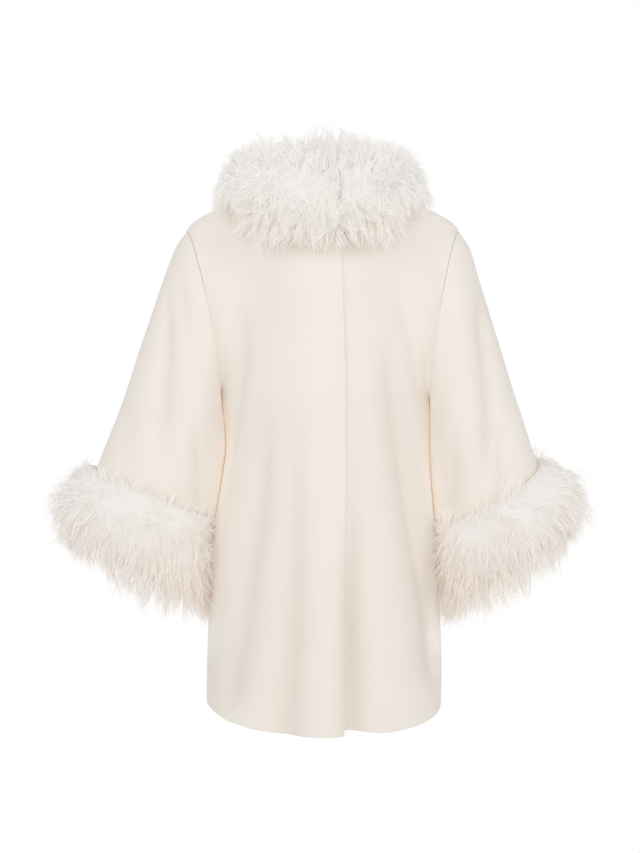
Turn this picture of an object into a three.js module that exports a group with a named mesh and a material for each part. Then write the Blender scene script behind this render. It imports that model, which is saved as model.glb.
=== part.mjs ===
import * as THREE from 'three';

// Ivory wool cape-coat with wide sleeves, a fur collar and fur cuffs, worn but
// with nobody in it. Millimetres. +X is the wearer's left, -Y the front, +Z up.
// The origin lies midway between the shoulders, at the side neck points' line.

const wall = 2.5;            // felted wool coating
const seamGap = 0.3;         // between two pieces at a seam
const armholeGap = 0.6;      // the sleeve's edge outside the body's
const lapGap = 1.2;          // between the two fronts where they overlap
const lapReach = 36;         // each front runs this far past the middle
const furClearance = 2.6;    // collar fur above the cloth it lies on
const neckClearance = 1.1;   // collar fur above the neckline
const cuffStart = 0.5;       // cuff fur below the sleeve's edge
const cuffSag = 0.4;         // share of its upward lean that hanging fur keeps

const neck = { halfWidth: 70, front: 90, back: 60, height: 25, frontDrop: 87, backRise: 4 };
const neckColumn = 50;       // degrees round the body where the shoulder meets the neckline
const shoulderRise = 13;     // the shoulder seam curves up this much between its ends
const hemDip = 39;           // the hem is this much lower at the middle than at the side
const hemRoundness = { right: 1.25, left: 0.75 };   // how soon the hem falls from each side
const underRise = 8;         // the under front's hem is this much higher near its edge
const underRiseFrom = { high: 450, low: 800, reach: 105 };   // heights below the origin, and how far across
const lapFade = { from: 6, to: 46 };   // the under front comes up beside the top one over this, past the lap
const fullness = { top: 1.3, low: 0.95 };   // below 1 a section of the body is squarer than an ellipse

const armhole = {
  right: { side: -1, tipX: 210, tipZ: -42, baseX: 158.3, baseZ: -292, depth: 75, bow: 13 },
  left: { side: 1, tipX: 212, tipZ: -42, baseX: 169.3, baseZ: -300, depth: 75, bow: 13 },
};

// Cross-sections of the body from the underarm to the hem.
const bodySections = [
  { name: 'underarm', z: -296, right: 158, left: 169, front: 142, back: 105 },
  { name: 'waist', z: -369, right: 149, left: 166.5, front: 140, back: 104 },
  { name: 'high hip', z: -437, right: 157, left: 169.5, front: 143, back: 110 },
  { name: 'hip', z: -518, right: 170, left: 177, front: 149, back: 122 },
  { name: 'thigh', z: -623, right: 175, left: 182.5, front: 154, back: 136 },
  { name: 'low', z: -719, right: 178, left: 185, front: 156.5, back: 146 },
  { name: 'hem', z: -767, right: 178.5, left: 184, front: 156.5, back: 150 },
];

// Soft folds of the body. Each runs from its top to its bottom; across is the
// distance from the middle line at the surface, depth below 0 is a ridge.
const bodyFolds = [
  { face: 'front', topX: -84, topZ: -250, bottomX: -146, bottomZ: -810, depth: 8, width: 20 },
  { face: 'front', topX: -43, topZ: -270, bottomX: -39, bottomZ: -860, depth: 6, width: 26 },
  { face: 'front', topX: -124, topZ: -120, bottomX: -130, bottomZ: -380, depth: 5, width: 15 },
  { face: 'front', topX: 58, topZ: -370, bottomX: 63, bottomZ: -860, depth: 5, width: 20 },
  { face: 'front', topX: 96, topZ: -190, bottomX: 168, bottomZ: -760, depth: 8, width: 20 },
  { face: 'front', topX: 88, topZ: -460, bottomX: 112, bottomZ: -840, depth: -4, width: 26 },
  { face: 'back', topX: -92, topZ: -190, bottomX: -128, bottomZ: -840, depth: 8, width: 22 },
  { face: 'back', topX: -30, topZ: -240, bottomX: -46, bottomZ: -860, depth: 6, width: 26 },
  { face: 'back', topX: 44, topZ: -210, bottomX: 52, bottomZ: -860, depth: 7, width: 24 },
  { face: 'back', topX: 102, topZ: -200, bottomX: 140, bottomZ: -820, depth: 8, width: 20 },
];

// Rings of the sleeves from armhole to cuff: the ends of each ring's long axis
// (outer over the arm, inner under it), its half depth and its front's drop.
const sleeveRings = {
  right: [
    { at: 0, outerX: 210, outerZ: -42, innerX: 158.3, innerZ: -292, depth: 75, drop: 0 },
    { at: 0.09, outerX: 226, outerZ: -66, innerX: 157.7, innerZ: -310, depth: 78, drop: 0 },
    { at: 0.24, outerX: 247, outerZ: -121, innerX: 153.8, innerZ: -337, depth: 80, drop: 0 },
    { at: 0.44, outerX: 271.5, outerZ: -195, innerX: 150.8, innerZ: -372, depth: 79, drop: 0 },
    { at: 0.74, outerX: 309.5, outerZ: -307, innerX: 156.6, innerZ: -425, depth: 75, drop: 2 },
    { at: 1, outerX: 349, outerZ: -408, innerX: 168.5, innerZ: -485, depth: 69, drop: 4 },
  ],
  left: [
    { at: 0, outerX: 212, outerZ: -42, innerX: 169.3, innerZ: -300, depth: 75, drop: 0 },
    { at: 0.09, outerX: 228, outerZ: -66, innerX: 169.4, innerZ: -318, depth: 78, drop: 1 },
    { at: 0.24, outerX: 242, outerZ: -112, innerX: 169, innerZ: -342, depth: 80, drop: 4 },
    { at: 0.44, outerX: 265, outerZ: -186, innerX: 168.4, innerZ: -374, depth: 79, drop: 8 },
    { at: 0.74, outerX: 299, outerZ: -298, innerX: 170.2, innerZ: -425, depth: 75, drop: 15 },
    { at: 1, outerX: 333, outerZ: -402, innerX: 175.8, innerZ: -485, depth: 69, drop: 22 },
  ],
};

const sleeveFull = { outer: 0.82, inner: 1.4 };   // fullness of a ring at its two ends
const sleeveTuck = 3;       // the seam under the arm lies this far behind the body's side seam

// Upright folds of the sleeves, at a distance from the middle line.
const sleeveFolds = {
  right: [
    { face: 'front', x: 241, topZ: -110, bottomZ: -440, depth: 7, width: 17 },
    { face: 'back', x: 232, topZ: -120, bottomZ: -440, depth: 7, width: 19 },
  ],
  left: [
    { face: 'front', x: 250, topZ: -105, bottomZ: -450, depth: 8, width: 17 },
    { face: 'back', x: 238, topZ: -120, bottomZ: -450, depth: 7, width: 19 },
  ],
};

// The fur collar's reach in directions round the neck, in degrees from the front.
// Bottom is the height where the fur leaves the cloth it lies on.
const collarReach = [
  { angle: 0, outer: 152, top: 68, bottom: -84, middle: -8 },
  { angle: 45, outer: 166, top: 80, bottom: -60, middle: 10 },
  { angle: 90, outer: 172, top: 90, bottom: -8, middle: 24 },
  { angle: 135, outer: 158, top: 114, bottom: -26, middle: 28 },
  { angle: 180, outer: 142, top: 127, bottom: -44, middle: 32 },
];
const collarClosing = { angle: 11.5, halfGap: 0.4 };   // degrees; the collar's ends meet here
const collarStep = 10;       // degrees between its sections

// The fur cuffs' reach round the sleeve's end, in degrees from the outer end.
const cuffReach = {
  right: [
    { angle: 0, proud: 70, length: 130, inset: 6 },
    { angle: 60, proud: 54, length: 146, inset: 6 },
    { angle: 110, proud: 42, length: 160, inset: 6 },
    { angle: 180, proud: 1.5, length: 156, inset: 20 },
    { angle: 250, proud: 42, length: 148, inset: 6 },
    { angle: 300, proud: 54, length: 140, inset: 6 },
    { angle: 360, proud: 70, length: 130, inset: 6 },
  ],
  left: [
    { angle: 0, proud: 80, length: 128, inset: 6 },
    { angle: 60, proud: 58, length: 142, inset: 6 },
    { angle: 110, proud: 42, length: 150, inset: 6 },
    { angle: 180, proud: 3, length: 160, inset: 20 },
    { angle: 250, proud: 42, length: 148, inset: 6 },
    { angle: 300, proud: 58, length: 142, inset: 6 },
    { angle: 360, proud: 80, length: 128, inset: 6 },
  ],
};

const radians = THREE.MathUtils.degToRad;
const smoothstep = THREE.MathUtils.smoothstep;
const mix = THREE.MathUtils.lerp;

// Smooth curve through one column of a table, read at a value of its key column.
function tableAt(table, key, column, value) {
  const rising = table[1][key] > table[0][key] ? 1 : -1;
  let row = 1;
  while (row < table.length - 1 && (value - table[row][key]) * rising > 0) row += 1;
  const [a, b] = [table[row - 1], table[row]];
  const before = table[Math.max(row - 2, 0)];
  const after = table[Math.min(row + 1, table.length - 1)];
  const span = b[key] - a[key];
  const t = THREE.MathUtils.clamp((value - a[key]) / span, 0, 1);
  const slopeA = (b[column] - before[column]) / (b[key] - before[key]) * span;
  const slopeB = (after[column] - a[column]) / (after[key] - a[key]) * span;
  const t2 = t * t;
  const t3 = t2 * t;
  return (2 * t3 - 3 * t2 + 1) * a[column] + (t3 - 2 * t2 + t) * slopeA
    + (3 * t2 - 2 * t3) * b[column] + (t3 - t2) * slopeB;
}

function armholePoint(hole, share, front) {
  const along = (1 - Math.cos(Math.PI * share)) / 2;
  const bulge = Math.sin(Math.PI * share);
  const x = mix(hole.tipX, hole.baseX, along) - hole.bow * bulge;
  return new THREE.Vector3(
    hole.side * x, (front ? -1 : 1) * hole.depth * bulge, mix(hole.tipZ, hole.baseZ, along));
}

// Top edge of the body: the shoulder seam, then the neckline. Column angles run
// from the right side (0) over the middle (90) to the left side (180).
function topEdge(column, front) {
  const hole = column < 90 ? armhole.right : armhole.left;
  const fromSide = Math.min(column, 180 - column);
  if (fromSide < neckColumn) {
    const along = fromSide / neckColumn;
    const rise = shoulderRise * Math.sin(Math.PI * Math.sqrt(along));
    return new THREE.Vector3(
      hole.side * mix(hole.tipX, neck.halfWidth, along), 0,
      mix(hole.tipZ, neck.height, along) + rise);
  }
  const around = radians((column - neckColumn) / (180 - 2 * neckColumn) * 180);
  const depth = Math.sin(around);
  const lift = front ? -neck.frontDrop * depth ** 1.3 : neck.backRise * depth;
  return new THREE.Vector3(
    -neck.halfWidth * Math.cos(around), depth * (front ? -neck.front : neck.back),
    neck.height + lift);
}

function sectionPoint(column, sideZ, front) {
  const angle = radians(column);
  const half = tableAt(bodySections, 'z', column < 90 ? 'right' : 'left', sideZ);
  const depth = tableAt(bodySections, 'z', front ? 'front' : 'back', sideZ);
  const [top, bottom] = [bodySections[0].z, bodySections.at(-1).z];
  const down = (sideZ - top) / (bottom - top);
  const roundness = column < 90 ? hemRoundness.right : hemRoundness.left;
  const sine = Math.max(Math.sin(angle), 0);
  const dip = hemDip * down * down * sine ** roundness;
  const out = depth * sine ** mix(fullness.top, fullness.low, down);
  return new THREE.Vector3(-half * Math.cos(angle), front ? -out : out, sideZ - dip);
}

// The yoke: from the top edge over the shoulder and chest, down to the underarm.
function yokePoint(column, share, front) {
  const upper = topEdge(column, front);
  const lower = sectionPoint(column, bodySections[0].z, front);
  const turn = Math.sin(radians(column)) ** 2;
  const face = front ? -1 : 1;
  const leave = new THREE.Vector3(
    0, face * mix(120, front ? 100 : 150, turn), mix(-30, front ? -140 : -90, turn));
  const arrive = new THREE.Vector3(0, 0, -230);
  const t2 = share * share;
  const t3 = t2 * share;
  return new THREE.Vector3()
    .addScaledVector(upper, 2 * t3 - 3 * t2 + 1)
    .addScaledVector(leave, t3 - 2 * t2 + share)
    .addScaledVector(lower, 3 * t2 - 2 * t3)
    .addScaledVector(arrive, t3 - t2);
}

const armholeRows = 10;       // also the columns of each sleeve half, so that the seams meet
const skirtRows = 11;
const edgePull = 60;         // degrees over which the yoke bends to the armhole seam

function bodyPoint(column, row, front) {
  if (row > armholeRows) {
    const [top, bottom] = [bodySections[0].z, bodySections.at(-1).z];
    return sectionPoint(column, mix(top, bottom, (row - armholeRows) / skirtRows), front);
  }
  const share = row / armholeRows;
  const point = yokePoint(column, share, front);
  for (const [hole, fromSide] of [[armhole.right, column], [armhole.left, 180 - column]]) {
    if (fromSide >= edgePull) continue;
    const edge = yokePoint(hole.side < 0 ? 0 : 180, share, front);
    const pull = (1 - fromSide / edgePull) ** 2;
    point.addScaledVector(armholePoint(hole, share, front).sub(edge), pull);
  }
  return point;
}

function foldDepth(folds, point, front) {
  let depth = 0;
  for (const fold of folds) {
    if ((fold.face === 'front') !== front || point.z > fold.topZ) continue;
    const down = (fold.topZ - point.z) / (fold.topZ - fold.bottomZ);
    const x = mix(fold.topX, fold.bottomX, Math.min(down, 1));
    const grow = smoothstep(down, 0, 0.45) * (1 - smoothstep(down, 1, 1.15));
    depth += fold.depth * grow * Math.exp(-(((point.x - x) / fold.width) ** 2));
  }
  return depth;
}

// Outward normals of a grid of points; outward is +1 or -1 for the grid's turn.
function gridNormals(grid, outward) {
  return grid.map((row, i) => row.map((_, j) => {
    const up = grid[Math.max(i - 1, 0)][j];
    const down = grid[Math.min(i + 1, grid.length - 1)][j];
    const before = row[Math.max(j - 1, 0)];
    const after = row[Math.min(j + 1, row.length - 1)];
    const across = after.clone().sub(before);
    return down.clone().sub(up).cross(across).multiplyScalar(outward).normalize();
  }));
}

// The inner face of the cloth. At the seams between front and back the wall turns
// in along the plane of the seam, so that the two walls stay apart.
function innerFace(grid, normals, atSeam) {
  return grid.map((row, i) => row.map((point, j) => {
    const inward = normals[i][j].clone();
    if (atSeam(point, j)) inward.setY(0).normalize();
    return point.clone().addScaledVector(inward, -wall);
  }));
}

// A closed solid from its list of points and quads; outward turns the quads.
function closedSolid(points, quads, outward) {
  const index = [];
  for (const [a, b, c, d] of quads) {
    index.push(...(outward > 0 ? [a, b, c, a, c, d] : [a, c, b, a, d, c]));
  }
  const geometry = new THREE.BufferGeometry().setFromPoints(points);
  geometry.setIndex(index);
  return geometry;
}

// Cloth between an outer and an inner grid, closed along its four edges.
function clothSolid(outer, inner, outward) {
  const rows = outer.length;
  const columns = outer[0].length;
  const at = (i, j) => i * columns + j;
  const back = rows * columns;
  const quads = [];
  for (let i = 0; i < rows - 1; i += 1) {
    for (let j = 0; j < columns - 1; j += 1) {
      quads.push([at(i, j), at(i + 1, j), at(i + 1, j + 1), at(i, j + 1)]);
      quads.push([at(i, j), at(i, j + 1), at(i + 1, j + 1), at(i + 1, j)].map((k) => k + back));
    }
  }
  const rim = [];
  for (let j = 0; j < columns - 1; j += 1) rim.push(at(0, j));
  for (let i = 0; i < rows - 1; i += 1) rim.push(at(i, columns - 1));
  for (let j = columns - 1; j > 0; j -= 1) rim.push(at(rows - 1, j));
  for (let i = rows - 1; i > 0; i -= 1) rim.push(at(i, 0));
  rim.forEach((here, k) => {
    const next = rim[(k + 1) % rim.length];
    quads.push([here, next, next + back, here + back]);
  });
  return closedSolid([...outer.flat(), ...inner.flat()], quads, outward);
}

// Body panels. A panel is a grid over column angles; the front ones lap over
// each other past the middle, the wearer's right front on top.
function bodyGrid(columnsAt, front, underLap) {
  const grid = [];
  for (let row = 0; row <= armholeRows + skirtRows; row += 1) {
    const line = columnsAt(row).map((column) => bodyPoint(column, row, front));
    grid.push(line);
  }
  const outward = front ? 1 : -1;
  const normals = gridNormals(grid, outward);
  return grid.map((line, i) => line.map((point, j) => {
    const moved = point.clone().addScaledVector(normals[i][j], -foldDepth(bodyFolds, point, front));
    if (underLap) {
      const covered = 1 - smoothstep(point.x, lapReach + lapFade.from, lapReach + lapFade.to);
      moved.addScaledVector(normals[i][j], -covered * (wall + lapGap));
      const { high, low, reach } = underRiseFrom;
      const share = smoothstep(-point.z, high, low) * (1 - smoothstep(point.x, lapReach, reach));
      moved.z += underRise * share;
    }
    moved.y += (front ? -1 : 1) * seamGap / 2;
    return moved;
  }));
}

const frontColumns = 13;
const backColumns = 24;

// Column angle where a ring of the body is lapReach past the middle line.
function lapColumn(row, side) {
  const [top, bottom] = [bodySections[0].z, bodySections.at(-1).z];
  const z = mix(top, bottom, Math.max(row - armholeRows, 0) / skirtRows);
  const half = tableAt(bodySections, 'z', side > 0 ? 'left' : 'right', z);
  return 90 + side * THREE.MathUtils.radToDeg(Math.asin(lapReach / half));
}

function evenColumns(from, to, count) {
  return Array.from({ length: count + 1 }, (_, k) => mix(from, to, k / count));
}

const panels = {
  front_right: bodyGrid((row) => evenColumns(0, lapColumn(row, 1), frontColumns), true, false),
  front_left: bodyGrid((row) => evenColumns(lapColumn(row, -1), 180, frontColumns), true, true),
  back: bodyGrid(() => evenColumns(0, 180, backColumns), false, false),
};
const panelNormals = Object.fromEntries(
  Object.entries(panels).map(([name, grid]) => [name, gridNormals(grid, name === 'back' ? -1 : 1)]));

// Sleeves, each in a front and a back half, seamed over and under the arm.
const sleeveRows = 11;
const halfColumns = armholeRows;
const bellStart = 0.35;      // share of the length over which the armhole's shape turns into the bell's
const rowSpread = 1.15;      // rows lie closer near the armhole

function ringPoint(side, at, share, front) {
  const rings = sleeveRings[side];
  const hole = armhole[side];
  const read = (column) => tableAt(rings, 'at', column, at);
  const along = (1 - Math.cos(Math.PI * share)) / 2;
  const bulge = Math.sin(Math.PI * share);
  const bow = hole.bow * bulge * (1 - smoothstep(at, 0, bellStart));
  const x = mix(read('outerX'), read('innerX'), along) - bow;
  const face = front ? -1 : 1;
  const opened = smoothstep(at, 0, bellStart);
  const full = mix(1, mix(sleeveFull.outer, sleeveFull.inner, along ** 2), opened);
  const y = face * read('depth') * Math.max(bulge, 0) ** full + sleeveTuck * along ** 2 * opened;
  return new THREE.Vector3(
    hole.side * x, y, mix(read('outerZ'), read('innerZ'), along) + face * read('drop') * bulge);
}

function sleeveHalf(side, front) {
  const hole = armhole[side];
  const outward = (front ? -1 : 1) * hole.side;
  const rowShare = (row) => (row / sleeveRows) ** rowSpread;
  let grid = Array.from({ length: sleeveRows + 1 }, (_, row) =>
    Array.from({ length: halfColumns + 1 }, (__, k) =>
      ringPoint(side, rowShare(row), k / halfColumns, front)));
  const normals = gridNormals(grid, outward);
  grid = grid.map((line, i) => line.map((point, j) => {
    const across = point.clone().setX(Math.abs(point.x));
    const folds = sleeveFolds[side].map((fold) => ({ ...fold, topX: fold.x, bottomX: fold.x }));
    const edge = Math.sin(Math.PI * j / halfColumns) ** 0.5;
    const depth = foldDepth(folds, across, front) * edge * smoothstep(i, 0, 3);
    const moved = point.clone().addScaledVector(normals[i][j], -depth);
    moved.x += hole.side * armholeGap;
    moved.y += (front ? -1 : 1) * seamGap / 2;
    return moved;
  }));
  return { grid, inner: sleeveInner(side, front, grid, gridNormals(grid, outward)), outward };
}

// Normal of the body cloth along its armhole edge, so that the two walls that
// meet at the seam turn in together.
function armholeNormal(side, share, front) {
  const name = front ? `front_${side}` : 'back';
  const normals = panelNormals[name];
  const row = share * armholeRows;
  const low = Math.min(Math.floor(row), armholeRows - 1);
  const edge = side === 'right' ? 0 : normals[0].length - 1;
  return normals[low][edge].clone().lerp(normals[low + 1][edge], row - low).normalize();
}

// The inner face of a sleeve half; at the armhole it turns in with the body's.
function sleeveInner(side, front, grid, normals) {
  normals[0] = normals[0].map((normal, j) => {
    const share = j / halfColumns;
    const own = smoothstep(share, 0.6, 0.9);
    return armholeNormal(side, share, front).lerp(normal, own).normalize();
  });
  return innerFace(grid, normals, (point, j) => j === 0 || j === halfColumns);
}

// Rings of section points closed on themselves, as a tube or a C with two caps.
function furSolid(sections, closedRound) {
  const count = sections[0].length;
  const steps = closedRound ? sections.length : sections.length - 1;
  const quads = [];
  for (let i = 0; i < steps; i += 1) {
    const next = (i + 1) % sections.length;
    for (let k = 0; k < count; k += 1) {
      const l = (k + 1) % count;
      quads.push([i * count + k, next * count + k, next * count + l, i * count + l]);
    }
  }
  const points = sections.flat();
  const geometry = closedSolid(points, quads, 1);
  if (closedRound) return geometry;
  const index = Array.from(geometry.index.array);
  for (const [section, turn] of [[0, 1], [sections.length - 1, -1]]) {
    const origin = points[section * count];
    const along = points[section * count + 1].clone().sub(origin).setZ(0).normalize();
    const flat = sections[section].map((p) => new THREE.Vector2(p.clone().sub(origin).dot(along), p.z));
    for (const [a, b, c] of THREE.ShapeUtils.triangulateShape(flat, [])) {
      const corner = turn > 0 ? [a, b, c] : [a, c, b];
      index.push(...corner.map((k) => k + section * count));
    }
  }
  geometry.setIndex(index);
  return geometry;
}

// Height of the cloth under a point of the plan, or of the neckline inside it.
function restHeight(angle, radius, cloth) {
  const [sin, cos] = [Math.sin(angle), Math.cos(angle)];
  const deep = cos > 0 ? neck.front : neck.back;
  const rim = 1 / Math.hypot(sin / neck.halfWidth, cos / deep);
  const depth = Math.abs(rim * cos / deep);
  const lift = cos > 0 ? -neck.frontDrop * depth ** 1.3 : neck.backRise * depth;
  if (radius <= rim) return neck.height + lift;
  const ray = new THREE.Raycaster();
  const hits = [-1, 1].flatMap((shift) => {
    const from = new THREE.Vector3(radius * sin, -radius * cos + shift, neck.height + 50);
    ray.set(from, new THREE.Vector3(0, 0, -1));
    return ray.intersectObjects(cloth).slice(0, 1);
  });
  return hits.length ? Math.max(...hits.map((hit) => hit.point.z)) : neck.height + lift;
}

// Radius at which the cloth has fallen to a given height.
function radiusAtHeight(angle, rim, height, cloth) {
  let radius = rim + 1;
  while (restHeight(angle, radius, cloth) > height) radius += 1;
  return radius;
}

// The highest cloth near a place, so that the fur's flat faces clear it too.
function clearHeight(angle, radius, cloth) {
  const reach = radians(collarStep) * 0.6;
  return Math.max(...[-reach, 0, reach].map((turn) => restHeight(angle + turn, radius, cloth)));
}

function collarSection(angle, cloth) {
  const degrees = Math.abs(THREE.MathUtils.euclideanModulo(angle + 180, 360) - 180);
  const read = (column) => tableAt(collarReach, 'angle', column, degrees);
  const turn = radians(angle);
  const deep = Math.cos(turn) > 0 ? neck.front : neck.back;
  const rim = 1 / Math.hypot(Math.sin(turn) / neck.halfWidth, Math.cos(turn) / deep);
  const [outer, top, bottom, middle] = ['outer', 'top', 'bottom', 'middle'].map(read);
  const bottomAt = radiusAtHeight(turn, rim, bottom, cloth);
  const inner = rim - 8;
  const crest = mix(inner, outer, 0.45);
  const outline = [[inner, clearHeight(turn, rim, cloth) + neckClearance]];
  for (const share of [0, 0.15, 0.4, 0.7, 1]) {
    const radius = mix(rim, bottomAt, share);
    const lift = share === 0 ? neckClearance : furClearance;
    outline.push([radius, clearHeight(turn, radius, cloth) + lift]);
  }
  const lowest = outline.at(-1)[1];
  const arc = (steps, place) => steps.forEach((step) => outline.push(place(radians(step))));
  arc([35, 70], (a) => [
    mix(bottomAt, outer, Math.sin(a)), middle + (lowest - middle) * Math.cos(a)]);
  arc([0, 30, 60, 90], (a) => [
    crest + (outer - crest) * Math.cos(a), middle + (top - middle) * Math.sin(a)]);
  arc([35, 70], (a) => [
    crest - (crest - inner) * Math.sin(a), middle + (top - middle) * Math.cos(a)]);
  return outline.map(([radius, z]) => new THREE.Vector3(
    radius * Math.sin(turn), -radius * Math.cos(turn), z));
}

function collarGeometry(cloth) {
  const from = collarClosing.angle + collarClosing.halfGap;
  const to = collarClosing.angle + 360 - collarClosing.halfGap;
  const steps = Math.round((to - from) / collarStep);
  const sections = evenColumns(from, to, steps).map((angle) => collarSection(angle, cloth));
  return furSolid(sections, false);
}

// The cuff's fur: sections stand round the sleeve's end and hang down from it.
function cuffGeometry(side, front, back) {
  const hole = armhole[side];
  const end = sleeveRings[side].at(-1);
  const alongOut = new THREE.Vector3(
    hole.side * (end.outerX - end.innerX), 0, end.outerZ - end.innerZ);
  const halfLong = alongOut.length() / 2;
  alongOut.normalize();
  const axis = new THREE.Vector3(-alongOut.z, 0, alongOut.x);
  if (axis.z > 0) axis.negate();
  const hang = axis.multiplyScalar(0.45).add(new THREE.Vector3(0, 0, -0.55)).normalize();
  const [loop, innerLoop] = ['grid', 'inner'].map((face) => {
    const [ahead, behind] = [front[face].at(-1), back[face].at(-1)];
    const ring = [...ahead, ...behind.slice(1, -1).reverse()].map((point) => point.clone());
    for (const k of [0, halfColumns]) ring[k].setY((ahead[k].y + behind[k].y) / 2);
    return ring;
  });
  const sections = loop.map((edge, step) => {
    const angle = step * 180 / halfColumns;
    const read = (column) => tableAt(cuffReach[side], 'angle', column, angle);
    const [proud, length, inset] = ['proud', 'length', 'inset'].map(read);
    const out = alongOut.clone().multiplyScalar(Math.cos(radians(angle)) / halfLong);
    out.y = -Math.sin(radians(angle)) / end.depth;
    out.normalize();
    out.z *= cuffSag;
    const outline = [
      [proud * 0.3, -proud * 0.06 / length], [proud * 0.72, 0.08],
      [proud, 0.3], [proud * 1.02, 0.54], [proud * 0.78, 0.78], [proud * 0.36, 0.95],
      [0, 1], [-inset, 0.82], [-inset - wall, 0.4],
    ];
    const rim = [innerLoop[step], edge].map((point) => point.clone().addScaledVector(hang, cuffStart));
    return rim.concat(outline.map(([reach, down]) => edge.clone()
      .addScaledVector(out, reach).addScaledVector(hang, down * length)));
  });
  return furSolid(hole.side > 0 ? sections : sections.reverse(), true);
}

// Materials
function clothMaterial() {
  return new THREE.MeshStandardMaterial({ color: 0xf1ebe4, roughness: 0.92, metalness: 0 });
}

function furMaterial() {
  return new THREE.MeshStandardMaterial({ color: 0xeee9e3, roughness: 0.8, metalness: 0 });
}

const cape = new THREE.Group();

function addPiece(name, geometry, material) {
  geometry.computeVertexNormals();
  const mesh = new THREE.Mesh(geometry, material);
  mesh.name = name;
  cape.add(mesh);
  return mesh;
}

const bodyPieces = Object.entries(panels).map(([name, grid]) => {
  const inner = innerFace(grid, panelNormals[name], (point) => Math.abs(point.y) <= seamGap);
  return addPiece(name, clothSolid(grid, inner, name === 'back' ? -1 : 1), clothMaterial());
});

addPiece('collar_fur', collarGeometry(bodyPieces), furMaterial());

for (const side of ['right', 'left']) {
  const front = sleeveHalf(side, true);
  const back = sleeveHalf(side, false);
  for (const [face, half] of Object.entries({ front, back })) {
    addPiece(`sleeve_${side}_${face}`, clothSolid(half.grid, half.inner, half.outward), clothMaterial());
  }
  addPiece(`cuff_fur_${side}`, cuffGeometry(side, front, back), furMaterial());
}

export default cape;
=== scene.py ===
import bpy
import math
import numpy as np
from mathutils import Matrix, Vector
from mathutils.bvhtree import BVHTree


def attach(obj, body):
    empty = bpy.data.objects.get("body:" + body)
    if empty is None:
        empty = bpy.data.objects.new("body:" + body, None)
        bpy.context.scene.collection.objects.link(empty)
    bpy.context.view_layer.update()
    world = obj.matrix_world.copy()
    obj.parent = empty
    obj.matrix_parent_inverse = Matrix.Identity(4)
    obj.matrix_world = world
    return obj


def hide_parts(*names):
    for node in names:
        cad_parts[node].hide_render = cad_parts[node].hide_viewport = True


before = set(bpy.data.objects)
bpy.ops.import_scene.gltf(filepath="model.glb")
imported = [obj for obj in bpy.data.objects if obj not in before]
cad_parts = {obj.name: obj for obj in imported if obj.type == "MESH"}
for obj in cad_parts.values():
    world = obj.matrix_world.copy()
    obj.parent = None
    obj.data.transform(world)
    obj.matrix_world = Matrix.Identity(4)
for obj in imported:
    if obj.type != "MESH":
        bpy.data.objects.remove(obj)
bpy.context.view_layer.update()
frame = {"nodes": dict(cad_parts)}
print("frame loaded:", ", ".join(frame["nodes"]))

# Metres. +X is the wearer's left, -Y the front, +Z up; the origin lies between the shoulders.


def asRows(names, *rows):
    # a table whose columns are named once
    return [dict(zip(names.split(), row)) for row in rows]


# Sizes of the cape; its form is that of its solids, worked out from the same few sections
cape = {
    "wall": 0.0025,
    "seamGap": 0.0003,
    "armholeGap": 0.0003,
    "lapGap": 0.0012,
    "lapReach": 0.036,
    "seamRound": 0.0010,
    "roundDepth": 0.75,
    "mostRound": 0.8,
    "yokeLength": 0.32,
    "skirtLength": 0.48,
}
neck = {"halfWidth": 0.070, "front": 0.090, "back": 0.060, "height": 0.025, "frontDrop": 0.087,
        "backRise": 0.004, "column": 50.0, "shoulderRise": 0.013}
# the cloth between the shoulders and the chest: how it leaves the shoulder seam and reaches the chest
yokeShape = {"blur": 24, "blurSteps": 13, "blurFade": 28, "softRow": 0.22, "softLow": 0.15, "softHigh": 0.5,
             "outAtSide": 0.120, "outFront": 0.100, "outBack": 0.150, "downAtSide": -0.030,
             "downFront": -0.140, "downBack": -0.090, "downAtChest": -0.230, "edgePull": 60}
hem = {"dip": 0.039, "right": 1.25, "left": 0.75, "underRise": 0.008, "fullTop": 1.3, "fullLow": 0.95}
armholes = {
    "right": {"side": -1, "tipX": 0.210, "tipZ": -0.042, "baseX": 0.1583, "baseZ": -0.292,
              "depth": 0.075, "bow": 0.013},
    "left": {"side": 1, "tipX": 0.212, "tipZ": -0.042, "baseX": 0.1693, "baseZ": -0.300,
             "depth": 0.075, "bow": 0.013},
}
bodySections = asRows(
    "z right left front back",
    (-0.296, 0.158, 0.169, 0.142, 0.105),
    (-0.369, 0.149, 0.1665, 0.140, 0.104),
    (-0.437, 0.157, 0.1695, 0.143, 0.110),
    (-0.518, 0.170, 0.177, 0.149, 0.122),
    (-0.623, 0.175, 0.1825, 0.154, 0.136),
    (-0.719, 0.178, 0.185, 0.1565, 0.146),
    (-0.767, 0.1785, 0.184, 0.1565, 0.150),
)
sleeveRings = {
    "right": asRows(
        "at outerX outerZ innerX innerZ depth drop",
        (0, 0.210, -0.042, 0.1583, -0.292, 0.075, 0),
        (0.09, 0.226, -0.066, 0.1560, -0.310, 0.078, 0),
        (0.24, 0.247, -0.121, 0.1512, -0.337, 0.080, 0),
        (0.44, 0.2715, -0.195, 0.1482, -0.372, 0.079, 0),
        (0.74, 0.3095, -0.307, 0.1545, -0.425, 0.075, 0.002),
        (1, 0.349, -0.408, 0.1642, -0.485, 0.069, 0.004),
    ),
    "left": asRows(
        "at outerX outerZ innerX innerZ depth drop",
        (0, 0.212, -0.042, 0.1693, -0.300, 0.075, 0),
        (0.09, 0.228, -0.066, 0.1678, -0.318, 0.078, 0.001),
        (0.24, 0.242, -0.112, 0.1664, -0.342, 0.080, 0.004),
        (0.44, 0.265, -0.186, 0.1656, -0.374, 0.079, 0.008),
        (0.74, 0.299, -0.298, 0.1678, -0.425, 0.075, 0.015),
        (1, 0.333, -0.402, 0.1736, -0.485, 0.069, 0.022),
    ),
}

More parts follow.
